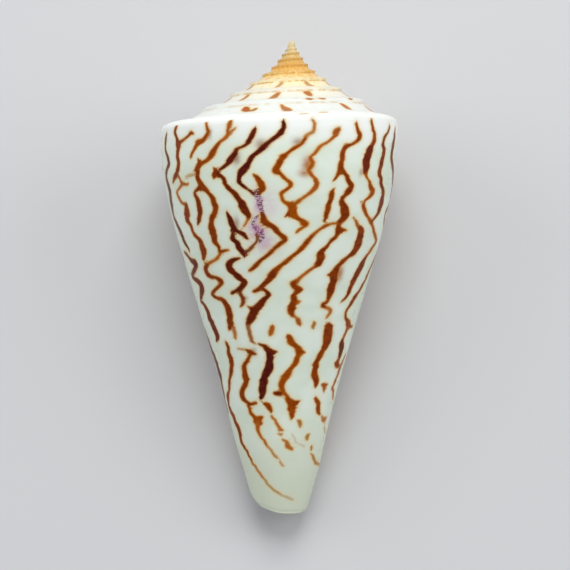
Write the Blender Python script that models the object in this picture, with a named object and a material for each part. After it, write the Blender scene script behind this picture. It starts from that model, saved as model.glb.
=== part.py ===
"""A cone shell, 70 mm long, lying aperture down with its apex toward +Y.

The shell is one coiled surface. It is described on its own axis first: an angle in degrees along the
growth of the coil, 0 at the lip and negative towards the apex, a radius from the axis, and a depth
below the apex. The finished solid is then laid on its aperture side.
"""

import math

import bmesh
import bpy
from mathutils import Matrix, Vector

MM = 0.001

# The coil
LIP_AZIMUTH = 134.0  # where the lip lies round the axis, from +X, seen from the apex
GROWTH = 1.46  # how much wider each whorl is than the one before
FRONT_ANGLE = -136.0  # growth angle that faces the viewer, half way between the two outlines
SPIRE_TURNS = 10
STEPS_PER_TURN = 40
FIRST_ANGLE = -360.0 * SPIRE_TURNS

# The body whorl at the front angle, as (depth below the apex, radius), in mm
BODY_PROFILE = (
    (13.7, 17.48),
    (20.8, 16.93),
    (28.5, 15.24),
    (38.6, 12.30),
    (46.0, 10.14),
    (53.5, 8.08),
    (60.9, 6.30),
    (66.5, 4.75),
    (70.1, 3.71),
)
GROWTH_AT_BASE = 1.28  # the coil is tighter at the base
BASE_GROWTH_FROM = 58.0  # depth where it starts to tighten
BASE_GROWTH_TO = 64.6

# The spire: depth of a whorl's shoulder edge from its radius
SHOULDER_DEPTH = 12.73
SHOULDER_RADIUS = 18.86
SHOULDER_POWER = 0.58
TIP_LIFT = 0.49  # the first whorls stand this much closer to the apex
TIP_RADIUS = 2.08
SPIRE_LEAN = 0.03  # the whorls sit a little lower on the left
STEP_DEPTH = 0.45  # from a shoulder edge down to the suture of the next whorl
STEP_RADIUS = 12.5
EDGE_INSET = 0.985  # the shoulder edge is a little narrower than the body just below it
SHOULDER_ROUND = 1.2

# The ramp of a whorl, from its suture (0, 0) to its shoulder edge (1, 1)
RAMP = ((0.20, 0.35), (0.45, 0.64), (0.88, 0.83), (1.0, 1.0))
RAMP_ROWS = len(RAMP) + 1
BODY_ROWS = 15
ROWS = RAMP_ROWS + BODY_ROWS

# The lower margin, as (growth angle, depth), in degrees and mm: it rises towards the lip
BASE_MARGIN = (
    (-360.0, 69.3),
    (-226.0, 69.8),
    (-136.0, 70.0),
    (-91.0, 69.3),
    (-70.0, 68.6),
    (-46.0, 67.3),
    (-20.0, 65.8),
    (10.0, 64.4),
)
PINCH = 0.36  # how much the columella narrows at the base
PINCH_FROM = 56.0  # depth where it starts to narrow
PINCH_ANGLES = (-400.0, -250.0)  # full on the columella, and gone by here on the outside
TIP_DEPTH = 69.5  # the end of the columella

# The lip and the hollow behind it
LIP_SWEEP = 5.0  # the lip bulges forward half way down, in degrees
NOTCH_SWEEP = 8.0  # and is swept back over the ramp
HOLLOW_TURN = 216.0  # how far the hollow reaches back from the lip
HOLLOW_STEPS = int(HOLLOW_TURN * STEPS_PER_TURN / 360.0)
LIP_WALL = 0.75
DEEP_WALL = 1.6
DEEP_WALL_AT_BASE = 1.0
DEEP_WALL_DEPTHS = (30.0, 60.0)  # the wall thins between these depths
WALL_THICKENS_OVER = 55.0
ROOF_DEPTH = 2.2  # from the suture to where the roof of the hollow meets the columella
ROOF_CORNER = 0.25  # height of the corner between the roof and the wall
FOOT_WIDTH = 0.25  # least width of each ring on the closed part of the base

# The way it lies, on its lip, its belly and the end of its base: rolled about its own axis, then pitched
REST_ROLL = 4.7
REST_PITCH = 13.0

SHELL_COLOUR = (0.80, 0.82, 0.74, 1.0)


def smooth(low, high, value):
    t = min(max((value - low) / (high - low), 0.0), 1.0)
    return t * t * (3.0 - 2.0 * t)


def through(points, x):
    """A smooth curve through points, whose slope at each point is that of its two neighbours."""
    if x <= points[0][0]:
        return points[0][1]
    if x >= points[-1][0]:
        return points[-1][1]
    last = len(points) - 1
    i = max(k for k in range(last) if points[k][0] <= x)

    def slope(k):
        a = points[max(k - 1, 0)]
        b = points[min(k + 1, last)]
        return (b[1] - a[1]) / (b[0] - a[0])

    (x0, y0), (x1, y1) = points[i], points[i + 1]
    width = x1 - x0
    t = (x - x0) / width
    return (
        y0 * (1 + 2 * t) * (1 - t) ** 2
        + slope(i) * width * t * (1 - t) ** 2
        + y1 * t * t * (3 - 2 * t)
        + slope(i + 1) * width * t * t * (t - 1)
    )


def azimuth(angle):
    """Direction round the axis of a growth angle: the coil runs clockwise seen from the apex."""
    return math.radians(LIP_AZIMUTH - angle)


def edge_radius(angle):
    widest = BODY_PROFILE[0][1]
    return EDGE_INSET * widest * GROWTH ** ((angle - FRONT_ANGLE) / 360.0)


def edge_depth(angle):
    radius = edge_radius(angle)
    depth = SHOULDER_DEPTH * (radius / SHOULDER_RADIUS) ** SHOULDER_POWER
    depth -= TIP_LIFT * math.exp(-((radius / TIP_RADIUS) ** 2))
    return depth - SPIRE_LEAN * radius * math.cos(azimuth(angle))


def step_depth(angle):
    return STEP_DEPTH * (edge_radius(angle) / STEP_RADIUS) ** 0.6


def body_radius(angle, depth):
    """Radius of the coil below its shoulder, on the outside and on the columella alike."""
    tightening = smooth(BASE_GROWTH_FROM, BASE_GROWTH_TO, depth)
    growth = GROWTH + (GROWTH_AT_BASE - GROWTH) * tightening
    radius = through(BODY_PROFILE, depth) * growth ** ((angle - FRONT_ANGLE) / 360.0)
    below_edge = max(depth - edge_depth(angle), 0.0)
    radius *= 1.0 - (1.0 - EDGE_INSET) * (1.0 - smooth(0.0, SHOULDER_ROUND, below_edge))
    columella = 1.0 - smooth(*PINCH_ANGLES, angle)
    return radius * (1.0 - PINCH * columella * smooth(PINCH_FROM, BASE_MARGIN[0][1], depth))


def base_depth(angle):
    return through(BASE_MARGIN, angle)


def wall(back, depth):
    """Wall thickness at an angle back from the lip and a depth below the apex."""
    deep = DEEP_WALL + (DEEP_WALL_AT_BASE - DEEP_WALL) * smooth(*DEEP_WALL_DEPTHS, depth)
    return LIP_WALL + (deep - LIP_WALL) * smooth(0.0, WALL_THICKENS_OVER, back)


def swept(angle, row):
    """A section follows the growth lines, so its rows lie at slightly different angles."""
    if row <= RAMP_ROWS:
        return angle - NOTCH_SWEEP * math.sin(math.pi * row / RAMP_ROWS)
    return angle + LIP_SWEEP * math.sin(math.pi * (row - RAMP_ROWS) / BODY_ROWS)


def outer_row(angle, row):
    """Radius and depth of a row of the outside: 0 is the suture, RAMP_ROWS lies below the shoulder."""
    suture = edge_depth(angle - 360.0) + step_depth(angle - 360.0)
    if row < RAMP_ROWS:
        inner = edge_radius(angle - 360.0) / EDGE_INSET
        along, down = RAMP[row - 1] if row else (0.0, 0.0)
        return inner + (edge_radius(angle) - inner) * along, suture + (edge_depth(angle) - suture) * down
    if row == RAMP_ROWS:
        depth = edge_depth(angle) + step_depth(angle)
        return edge_radius(angle) / EDGE_INSET, depth
    top = edge_depth(angle) + step_depth(angle) + ROOF_DEPTH
    depth = top + (base_depth(angle) - top) * (row - RAMP_ROWS - 1) / (BODY_ROWS - 1)
    return body_radius(angle, depth), depth


def inner_row(angle, row, back):
    """Radius and depth of a row of the hollow: its roof, then the inside of the wall."""
    if row > RAMP_ROWS:
        radius, depth = outer_row(angle, row)
        return radius - wall(back, depth), depth
    thickness = wall(back, edge_depth(angle))
    roof_in = body_radius(angle - 360.0, edge_depth(angle) + ROOF_DEPTH)
    roof_top = edge_depth(angle - 360.0) + step_depth(angle - 360.0) + ROOF_DEPTH
    roof_out = edge_radius(angle) - thickness
    if row == RAMP_ROWS:
        return roof_out, edge_depth(angle) + thickness + ROOF_CORNER
    along, down = RAMP[row - 1]
    return roof_in + (roof_out - roof_in) * along, roof_top + (edge_depth(angle) + thickness - roof_top) * down


def apex_row(angle, row):
    """The first whorl is a small dome with no suture of its own."""
    lean = math.pi / 2 * row / RAMP_ROWS
    return edge_radius(angle) * math.sin(lean), edge_depth(angle) * (1.0 - math.cos(lean))


def place(angle, radius, depth):
    turn = azimuth(angle)
    return Vector((radius * math.cos(turn), radius * math.sin(turn), -depth))


class Shell:
    """The closed surface, built section by section on a mesh that shares every suture."""

    def __init__(self):
        self.mesh = bmesh.new()
        self.last = SPIRE_TURNS * STEPS_PER_TURN
        self.first_body = self.last - STEPS_PER_TURN
        self.apex = self.mesh.verts.new((0.0, 0.0, 0.0))
        self.outside = {}
        self.inside = {}
        self.feet = {}

    def angle(self, section):
        return FIRST_ANGLE + 360.0 * section / STEPS_PER_TURN

    def outer(self, section, row):
        """A point of the outside. A whorl's suture is the whorl before it, just below its shoulder."""
        if row == 0:
            return self.outer(section - STEPS_PER_TURN, RAMP_ROWS) if section >= STEPS_PER_TURN else self.apex
        if section == 0:
            row = RAMP_ROWS
        key = (section, row)
        if key not in self.outside:
            angle = swept(self.angle(section), row)
            profile = apex_row if section < STEPS_PER_TURN and row < RAMP_ROWS else outer_row
            self.outside[key] = self.mesh.verts.new(place(angle, *profile(angle, row)))
        return self.outside[key]

    def inner(self, back, row):
        """A point of the hollow's roof or wall, counted back from the lip."""
        if row == 0:
            return self.core(back, RAMP_ROWS + 1)
        key = (back, row)
        if key not in self.inside:
            angle = swept(self.angle(self.last - back), row)
            turned = 360.0 * back / STEPS_PER_TURN
            self.inside[key] = self.mesh.verts.new(place(angle, *inner_row(angle, row, turned)))
        return self.inside[key]

    def core(self, back, row):
        """A point of the columella, which is the outside of the whorl before."""
        return self.outer(self.first_body - back, row)

    def face(self, *corners):
        """A face, with repeated corners dropped where the grid closes to a point."""
        kept = [c for i, c in enumerate(corners) if c is not corners[i - 1]]
        if len(set(kept)) >= 3:
            self.mesh.faces.new(kept)

    def skin(self):
        for section in range(self.last):
            rows = ROWS if section >= self.first_body else RAMP_ROWS
            for row in range(rows):
                self.face(
                    self.outer(section, row),
                    self.outer(section, row + 1),
                    self.outer(section + 1, row + 1),
                    self.outer(section + 1, row),
                )

    def hollow(self):
        for back in range(HOLLOW_STEPS):
            for row in range(ROWS):
                self.face(
                    self.inner(back, row),
                    self.inner(back, row + 1),
                    self.inner(back + 1, row + 1),
                    self.inner(back + 1, row),
                )
            for row in range(RAMP_ROWS + 1, ROWS):
                self.face(
                    self.core(back, row),
                    self.core(back + 1, row),
                    self.core(back + 1, row + 1),
                    self.core(back, row + 1),
                )

    def lip(self):
        for row in range(ROWS):
            self.face(
                self.outer(self.last, row),
                self.inner(0, row),
                self.inner(0, row + 1),
                self.outer(self.last, row + 1),
            )

    def blind_end(self):
        """The hollow ends in a wall, fanned from a low point of the columella up to its roof."""
        end = HOLLOW_STEPS
        foot = self.core(end, RAMP_ROWS + 2)
        for row in range(RAMP_ROWS + 2):
            self.face(foot, self.inner(end, row + 1), self.inner(end, row))
        for row in range(RAMP_ROWS + 2, ROWS):
            self.face(
                self.core(end, row),
                self.core(end, row + 1),
                self.inner(end, row + 1),
                self.inner(end, row),
            )

    def foot(self, section, ring):
        """Two rings on the closed part of the base, which grow out of its first point."""
        end = self.last - HOLLOW_STEPS
        if section == self.first_body:
            return self.outer(section, ROWS)
        if section == end:
            return self.inner(HOLLOW_STEPS, ROWS) if ring == 0 else self.core(HOLLOW_STEPS, ROWS)
        key = (section, ring)
        if key not in self.feet:
            share = (section - self.first_body) / (end - self.first_body)
            angle = swept(self.angle(section), ROWS)
            radius, depth = outer_row(angle, ROWS)
            start_radius, start_depth = outer_row(self.angle(self.first_body), ROWS)
            target = self.foot(end, ring).co
            width = start_radius + (math.hypot(target.x, target.y) - start_radius) * share
            width = min(width, radius - FOOT_WIDTH * (ring + 1) * share)
            level = start_depth + (-target.z - start_depth) * share
            self.feet[key] = self.mesh.verts.new(place(angle, width, max(level, depth)))
        return self.feet[key]

    def base(self):
        tip = self.mesh.verts.new((0.0, 0.0, -TIP_DEPTH))
        for back in range(HOLLOW_STEPS):
            section = self.last - back
            self.face(
                self.outer(section, ROWS),
                self.inner(back, ROWS),
                self.inner(back + 1, ROWS),
                self.outer(section - 1, ROWS),
            )
            self.face(self.core(back, ROWS), self.core(back + 1, ROWS), tip)
        for section in range(self.first_body, self.last - HOLLOW_STEPS):
            rings = [
                (self.outer(s, ROWS), self.foot(s, 0), self.foot(s, 1), tip) for s in (section, section + 1)
            ]
            for near, far in zip(range(3), range(1, 4)):
                self.face(rings[0][near], rings[0][far], rings[1][far], rings[1][near])

    def build(self):
        self.skin()
        self.hollow()
        self.lip()
        self.blind_end()
        self.base()
        bmesh.ops.triangulate(self.mesh, faces=self.mesh.faces)
        bmesh.ops.recalc_face_normals(self.mesh, faces=self.mesh.faces)
        return self.mesh


def lay_down(mesh):
    """Apex toward +Y and the back up, then tipped onto the lip and the base, with the origin below."""
    lying = Matrix.Rotation(math.radians(-90.0), 4, "X")
    roll = Matrix.Rotation(math.radians(REST_ROLL), 4, "Y")
    pitch = Matrix.Rotation(math.radians(REST_PITCH), 4, "X")
    bmesh.ops.transform(mesh, matrix=Matrix.Scale(MM, 4) @ pitch @ roll @ lying, verts=mesh.verts)
    low = [min(v.co[axis] for v in mesh.verts) for axis in range(3)]
    high = [max(v.co[axis] for v in mesh.verts) for axis in range(3)]
    middle = Vector(((low[0] + high[0]) / 2, (low[1] + high[1]) / 2, low[2]))
    bmesh.ops.translate(mesh, vec=-middle, verts=mesh.verts)


def shell_material():
    material = bpy.data.materials.new("shell_porcelain")
    material.use_nodes = True
    surface = material.node_tree.nodes["Principled BSDF"]
    surface.inputs["Base Color"].default_value = SHELL_COLOUR
    surface.inputs["Roughness"].default_value = 0.2
    surface.inputs["Metallic"].default_value = 0.0
    return material


def main():
    for old in list(bpy.data.objects):
        bpy.data.objects.remove(old, do_unlink=True)
    collection = bpy.data.collections.new("cone_shell")
    bpy.context.scene.collection.children.link(collection)
    mesh = Shell().build()
    lay_down(mesh)
    data = bpy.data.meshes.new("shell")
    mesh.to_mesh(data)
    mesh.free()
    data.shade_smooth()
    data.materials.append(shell_material())
    collection.objects.link(bpy.data.objects.new("shell", data))


main()
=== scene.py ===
"""Looks of the cone shell: a dense mesh with its brown zigzag lines, a floor, lights and the camera.

The shell is described on its own axis, as in the model it replaces: a growth angle in degrees, 0 at the
lip and negative towards the apex, a radius and a depth below the apex, in mm. The side that faces the
camera is also given by a bearing, in degrees to the right of its middle.
"""

import math

import bpy
import numpy as np
from mathutils import Matrix, Vector


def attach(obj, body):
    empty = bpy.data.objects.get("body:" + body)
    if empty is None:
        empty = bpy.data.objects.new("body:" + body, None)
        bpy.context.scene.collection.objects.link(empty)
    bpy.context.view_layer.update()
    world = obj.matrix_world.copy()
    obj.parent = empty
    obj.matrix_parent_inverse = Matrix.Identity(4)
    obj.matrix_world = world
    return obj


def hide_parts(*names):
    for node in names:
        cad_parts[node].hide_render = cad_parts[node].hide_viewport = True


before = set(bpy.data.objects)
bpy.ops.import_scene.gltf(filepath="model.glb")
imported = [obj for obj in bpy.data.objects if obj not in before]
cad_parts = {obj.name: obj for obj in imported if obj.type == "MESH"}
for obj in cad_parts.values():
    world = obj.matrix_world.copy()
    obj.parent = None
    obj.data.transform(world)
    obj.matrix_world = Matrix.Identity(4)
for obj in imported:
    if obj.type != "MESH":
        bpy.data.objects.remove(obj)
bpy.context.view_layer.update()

MM = 0.001

# The coil, with the values of the solid. The body's profile is in pairs of depth and radius.
LIP_AZIMUTH = 134.0
GROWTH = 1.46
FRONT_ANGLE = -136.0
SPIRE_TURNS = 10
FIRST_ANGLE = -360.0 * SPIRE_TURNS
BODY_START = -360.0
BODY_PROFILE = (
    (13.7, 17.48), (20.8, 16.93), (28.5, 15.24), (38.6, 12.30), (46.0, 10.14),
    (53.5, 8.08), (60.9, 6.30), (66.5, 4.75), (70.1, 3.71),
)
GROWTH_AT_BASE = 1.28
BASE_GROWTH_DEPTHS = (58.0, 64.6)
SHOULDER_DEPTH = 12.73
SHOULDER_RADIUS = 18.86
SHOULDER_POWER = 0.58
TIP_LIFT = 0.9
TIP_RADIUS = 1.5
SPIRE_LEAN = 0.03
SHOULDER_DIP = 0.8  # the shoulder edge dips on the right
DIP_ANGLE = -236.0
DIP_WIDTH = 42.0
STEP_DEPTH = 0.45
STEP_RADIUS = 12.5
STEP_POWER = 0.6
EDGE_INSET = 0.985
SHOULDER_ROUND = 1.2
RAMP = ((0.0, 0.0), (0.20, 0.35), (0.45, 0.64), (0.88, 0.83), (1.0, 1.0))
BASE_MARGIN = (  # growth angle and depth
    (-360.0, 69.3), (-226.0, 69.8), (-136.0, 70.0), (-91.0, 69.3),
    (-70.0, 68.6), (-46.0, 67.3), (-20.0, 65.8), (10.0, 64.4),
)
PINCH = 0.36
PINCH_FROM = 56.0
PINCH_ANGLES = (-400.0, -250.0)
TIP_DEPTH = 69.5
LIP_SWEEP = 5.0
NOTCH_SWEEP = 8.0
HOLLOW_TURN = 216.0
LIP_WALL = 0.75
DEEP_WALL = 1.6
DEEP_WALL_AT_BASE = 1.0
DEEP_WALL_DEPTHS = (30.0, 60.0)
WALL_THICKENS_OVER = 55.0
ROOF_DEPTH = 2.2
ROOF_CORNER = 0.25
FOOT_WIDTH = 0.25
REST_ROLL = 4.7
REST_PITCH = 13.0

# How finely the mesh is cut: closest on the side that faces the camera
FINE_FROM = 126.0
FINE_TO = 322.0
FINE_STEP = 0.75
COARSE_STEP = 1.2
RAMP_PLACES = (0.05, 0.12, 0.20, 0.28, 0.36, 0.44, 0.54, 0.64, 0.74, 0.84, 0.93, 1.0)
RAMP_ROWS = len(RAMP_PLACES) + 1
COARSE_ROW = 5  # the inside has one row to this many of the outside
COARSE_COLUMN = 3
COARSE_ROWS = 30
BODY_ROWS = COARSE_ROWS * COARSE_ROW + 1
ROWS = RAMP_ROWS + BODY_ROWS
PLAIN_TURNS = 7  # the early whorls, too small for every row
PLAIN_ROWS = [0, 2, 6, 10, 12, RAMP_ROWS]
SHARP_ANGLE = 55.0

# The place of a point on its whorl: up to RAMP_END across the ramp, then the foot, then the body
RAMP_END = 1.0
FOOT = 1.1
BODY = 2.0

# Relief that the solid is too coarse for
BEADS_PER_TURN = 22
BEAD_HEIGHT = 0.035
BEAD_RADII = (1.0, 1.8, 4.5, 8.0)  # beads fade in and out over the radius of the shoulder edge
BEADS_FROM = 0.7
RIDGE_HEIGHT = 0.14
RIDGE_RADII = (0.4, 1.5, 8.0, 14.0)
RIDGE_FROM = 0.8
EDGE_ROUND = 0.16  # the lip and the base margin are eased by this much

# The brown lines on the side that faces the camera, column by column from left to right.
# Each is a tone, a strength and points, each of them (bearing, depth, width) in degrees and tenths of a mm.
# Tone runs from 0, amber, through brown to 1, dark maroon.
STREAK_UNITS = (1.0, 0.1, 0.1)  # in degrees and mm
STREAKS = (
    # Left outline
    (0.9, 1, (-74, 147, 5), (-77, 162, 8), (-75.5, 174, 7), (-72.5, 188, 9), (-76, 197, 7),
     (-79.5, 208, 12), (-77.5, 228, 14), (-79.5, 248, 15), (-81, 264, 11), (-78.5, 276, 11), (-75, 290, 11),
     (-72.5, 302, 10), (-69, 316, 4)),
    (0.8, 1, (-78.5, 319, 4), (-74, 323, 6), (-70, 331, 8), (-65, 335, 11), (-68, 343, 8), (-72, 348, 7),
     (-77, 354, 6), (-73, 358, 7), (-67.5, 363, 11), (-66, 370, 13), (-69.5, 380, 10), (-74, 390, 4),
     (-69.5, 394, 7), (-67, 405, 11), (-65.5, 420, 13), (-63, 432, 12), (-61.5, 441, 11), (-64, 447, 5)),
    (0.85, 1, (-88, 436, 9), (-84, 458, 14), (-80.5, 475, 16), (-79, 490, 17), (-80.5, 506, 14),
     (-84, 524, 10), (-89, 540, 6)),
    (0.65, 1, (-52, 451, 5), (-51.5, 465, 8), (-51, 478, 9), (-53.5, 490, 7.5), (-58, 502, 5),
     (-62, 512, 4.5), (-66, 522, 4.5), (-71, 529, 8), (-75, 540, 8), (-73, 550, 10), (-69, 560, 9),
     (-64, 573, 9), (-61.5, 583, 8.5), (-62.5, 592, 7), (-58, 605, 5), (-53, 615, 4), (-49, 624, 3.5)),
    (0.2, 0.8, (-49, 624, 3.5), (-43, 635, 3.8), (-38, 641, 3), (-33, 648, 3)),
    (0, 0.65, (-32, 649, 3), (-29, 653, 3.4), (-24, 658, 2.8), (-15, 666, 2.6), (-5, 671, 2.6)),
    (-0.1, 0.4, (-6, 671, 2.6), (5, 675, 2.6), (20, 679, 2.2)),
    # Second column
    (0.65, 1, (-61.5, 134, 3), (-64, 144, 6.5), (-62.8, 153, 6), (-61.5, 163, 10), (-62.5, 176, 8.5),
     (-62, 192, 9), (-64, 204, 9), (-67.5, 211, 6), (-70, 217, 3.5)),
    (0.6, 1, (-61, 161, 7), (-57.5, 158, 4.5), (-53.5, 152, 3.5), (-51, 147, 5), (-49.8, 148, 3)),
    (0.45, 0.9, (-63.5, 207, 5), (-62, 214, 4), (-60.5, 219, 5.5), (-57, 221, 3.5), (-55.5, 220, 2)),
    (0.4, 0.9, (-61.5, 222, 4), (-64.5, 227, 3.5), (-67.5, 232, 3.5), (-66, 240, 6.5), (-65, 245, 5),
     (-61.5, 250, 4), (-60, 252, 6)),
    (0.6, 1, (-60, 251, 7), (-60.8, 260, 13), (-62.5, 270, 12), (-60.5, 280, 7), (-58.5, 292, 6.5),
     (-55.5, 300, 8), (-53.7, 310, 12), (-54, 319, 12), (-55, 327, 8)),
    (0, 0.5, (-57, 210, 2), (-53, 208, 4.5), (-50, 207, 3)),
    # Third column
    (0.5, 1, (-41.6, 132, 2.5), (-40.6, 140, 4), (-40.8, 149, 6), (-43.5, 158, 5.5), (-47, 162, 9),
     (-49, 170, 5.5), (-51.8, 182, 3.5)),
    (0.6, 1, (-46.8, 186, 3), (-46, 192, 8), (-48.3, 202, 8.5), (-47.5, 214, 9), (-46.3, 224, 11),
     (-43, 230, 7), (-40.5, 240, 8), (-39.5, 250, 10), (-40, 262, 9), (-43, 272, 8), (-43.5, 285, 12.5),
     (-43, 300, 11), (-41.8, 310, 6), (-40.5, 317, 5), (-36.5, 316, 3.5), (-34.5, 315, 2)),
    (0.35, 0.95, (-40.5, 321, 5), (-44, 328, 3.5), (-48, 332, 3.5), (-51.5, 335, 5)),
    (0.65, 1, (-52, 336, 5), (-55, 341, 8), (-55.5, 348, 9), (-52.5, 354, 7), (-49, 355, 5),
     (-45.5, 359, 7), (-43.3, 362, 4.5), (-48, 369, 5), (-52.5, 375, 5.5), (-54.7, 380, 6), (-51, 385, 5),
     (-47, 387, 7), (-43.7, 395, 10), (-43, 410, 12), (-43.5, 422, 11), (-45, 428, 7)),
    (0.25, 0.8, (-41, 428, 7), (-40.8, 436, 6), (-41.2, 442, 4)),
    (0.7, 1, (-46.3, 225, 9), (-49.5, 229, 5), (-51.5, 234, 5), (-50, 244, 8.5), (-50, 256, 10),
     (-51.2, 268, 8.5), (-53.8, 278, 3.5)),
    # Fourth column
    (0.35, 0.95, (-28.3, 128, 3.5), (-28, 133, 5.5), (-30, 142, 4.5), (-29.6, 149, 5), (-31.5, 156, 5),
     (-34, 161, 5)),
    (0.3, 0.85, (-29.6, 149, 3.5), (-28, 146, 3.5), (-26.4, 142, 2.5)),
    (0.55, 1, (-33.5, 160, 4.5), (-36, 169, 7), (-38, 177, 9), (-40.5, 185, 7), (-43.5, 190, 6),
     (-46, 192, 8)),
    (0.9, 1, (-16.5, 142, 4), (-17.5, 150, 8), (-19, 160, 6.5), (-21.5, 167, 3.5), (-25, 171, 4),
     (-26.5, 178, 7.5), (-28.3, 185, 9.5), (-31, 194, 5.5), (-34, 200, 4.5)),
    (0.65, 1, (-37.8, 199, 3), (-36.5, 205, 10), (-38.3, 212, 3)),
    (0.8, 1, (-36.5, 204, 9), (-34, 210, 6.5), (-31.5, 221, 6), (-28.5, 232, 8), (-26, 240, 7.5),
     (-24, 250, 11.5), (-22.3, 258, 12), (-21.2, 265, 8), (-21.6, 271, 4)),
    (0.2, 0.9, (-21.6, 271, 4), (-22.3, 276, 3), (-23.6, 281, 2)),
    (0.9, 1, (-32.3, 262, 3.5), (-31.3, 272, 8), (-30, 282, 8.5), (-27.7, 288, 6), (-24.8, 292, 6.5),
     (-23, 297, 5)),
    (0.9, 1, (-30.6, 294, 5), (-31, 299, 8), (-29.2, 305, 8), (-27.2, 313, 8.5), (-25.4, 319, 8.5),
     (-25.6, 324, 3)),
    (0.85, 1, (-30.5, 284, 4.5), (-30.8, 290, 4), (-30.8, 296, 5)),
    (0.8, 0.9, (-25.5, 318, 6), (-22.5, 316, 4.5), (-19.5, 310, 4), (-17.4, 303, 3.5), (-17, 294, 3)),
    (0.85, 1, (-29, 327, 3), (-33, 330, 6.5), (-36, 336, 10), (-35.8, 343, 11), (-33, 350, 8.5),
     (-29.5, 356, 9), (-27.5, 361, 9), (-30, 369, 8), (-34, 374, 4.5), (-37.2, 377, 5)),
    (0.75, 0.95, (-32, 374, 4), (-30, 382, 6), (-30.4, 391, 5.5), (-32.5, 396, 2.5)),
    (0.7, 1, (-25, 465, 2.5), (-28.7, 463, 6.5), (-33, 460, 3.5)),
    (0.1, 0.7, (-33, 460, 3), (-36.5, 459, 2.2), (-40, 458, 1.2)),
    (0.6, 1, (-29.5, 466, 5.5), (-33, 475, 4.5), (-37, 482, 6), (-38.5, 490, 8), (-38, 500, 10.5),
     (-39, 509, 9), (-43, 517, 7.5), (-45.5, 526, 10), (-43, 534, 7), (-38, 539, 5), (-33, 538, 4.5),
     (-30.5, 537, 4)),
    (0.45, 1, (-40, 542, 5), (-37.5, 552, 5.5), (-34, 559, 7), (-30, 563, 13), (-27, 560, 8),
     (-24.5, 558, 4)),
    (0.35, 0.95, (-30.5, 566, 11), (-30.7, 570, 6.5), (-31.5, 578, 5), (-29, 585, 3.5), (-25, 593, 3.2),
     (-20, 600, 2.8)),
    (0.15, 0.7, (-20, 600, 2.6), (-17, 606, 2.6), (-13, 612, 3), (-9.5, 616, 3.2)),
    (0.1, 0.6, (-6, 622, 1.5), (-3, 626, 2.5), (1, 629, 1.2)),
    # Middle column
    (0.95, 1, (-3.4, 131, 4), (-3, 140, 6.5), (-4.2, 148, 8), (-7, 155, 5), (-10.5, 163, 6), (-14, 172, 7),
     (-18, 183, 7), (-20, 194, 8.5), (-22.5, 202, 9.5), (-24.5, 209, 7.5), (-24, 218, 6), (-21.5, 226, 4.5),
     (-19.5, 231, 3.5), (-17, 236, 3.5)),
    (0.6, 1, (-17, 208, 3), (-15, 212, 6), (-13.6, 220, 10), (-13.6, 228, 8.5), (-15, 234, 5)),
    (0.97, 0.9, (-16.4, 232, 5), (-15.3, 240, 9), (-14.2, 250, 7.5), (-13.6, 260, 5), (-13.8, 266, 4)),
    (0.65, 1, (-14.2, 264, 5), (-12, 274, 10), (-8, 282, 7.5), (-4, 292, 6.5), (-1, 298.5, 6.5),
     (-4, 305, 5), (-8, 313, 4.5), (-12, 322, 5), (-16, 330, 5), (-20, 339, 5.5), (-23, 344, 4)),
    (1, 0.9, (-17.2, 268, 4), (-18.3, 278, 5), (-16.2, 286, 8.5), (-14.6, 294, 10), (-15.2, 302, 4.5)),
    (0.45, 0.95, (28.5, 273, 2.5), (24, 275, 3), (21, 278, 5), (18, 283, 3.8), (14, 292, 4.8)),
    (0.55, 1, (14, 292, 4.8), (10.5, 302, 6), (6, 315, 6.5), (1, 327, 5.5), (-4, 337, 6.5), (-8, 346, 8)),
    (0.7, 1, (-8, 346, 8), (-11, 355, 10), (-14, 363, 8), (-17, 370, 6), (-20.8, 374, 4.5)),
    (0.8, 1, (-15.5, 369, 5), (-12.2, 378, 5.5), (-15, 385, 8), (-18.5, 394, 10), (-22, 402, 13),
     (-25, 412, 11), (-28, 420, 8.5)),
    (0.75, 1, (-26.6, 397, 2.5), (-24, 401, 6), (-22, 404, 8)),
    (0.65, 0.8, (-28, 420, 7.5), (-28.3, 430, 5.5), (-27.6, 443, 6), (-25, 449, 2.5)),
    (0.35, 0.95, (-10.2, 426, 7), (-10.8, 431, 7.5), (-12, 436, 4)),
    (0.8, 1, (-21.5, 451, 3), (-16.5, 454, 5.5), (-12.5, 460, 9), (-8.5, 461, 3.5)),
    (0.95, 1, (-13, 463, 9), (-14, 475, 10), (-14.5, 485, 13), (-17.5, 494, 11.5), (-19.8, 505, 11.5),
     (-21.5, 516, 10.5), (-23, 526, 8), (-24.6, 530, 4)),
    (0.6, 1, (-20.6, 538, 4.5), (-18, 540, 8), (-15, 545, 6.5), (-13.6, 549, 3.5)),
    (0.3, 0.9, (-13, 557, 3), (-10, 563, 3), (-7, 570, 4), (-4.5, 575, 4), (-2, 576, 2.5)),
    (0.25, 0.8, (-5.5, 582, 2), (-3.5, 583, 2)),
    (0.25, 0.9, (0, 591, 3), (3, 594, 4.5), (6.5, 599, 7.5), (9, 603, 5)),
    # Right of the middle
    (0.2, 0.85, (10.6, 128, 2.5), (12, 136, 3.8), (11.5, 144, 3.5), (8, 150, 3.5), (6.8, 156, 4.5)),
    (0.55, 1, (6.8, 155, 5), (5, 163, 4), (2, 169, 6), (-1, 177, 4), (-3.5, 183, 8.5), (-5.2, 192, 8),
     (-6.3, 200, 11), (-4.4, 205, 5)),
    (0.45, 1, (-5, 202, 5), (-2, 212, 5), (0.5, 220, 6), (-1, 227, 5), (-3.6, 233, 5), (-3.5, 239, 4),
     (-1.5, 246, 5), (1.5, 252, 11.5), (2, 260, 12.5), (5, 268, 7), (8.5, 275, 8), (10.6, 277, 4),
     (7, 283, 3.8), (5, 288, 2.8)),
    (0.6, 1, (1, 250, 8), (1.4, 257, 10), (-0.5, 264, 5)),
    (0.4, 0.95, (24.6, 138, 3), (22.5, 144, 9), (21.5, 150, 6), (19, 158, 3.5), (15, 165, 3.8),
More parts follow.
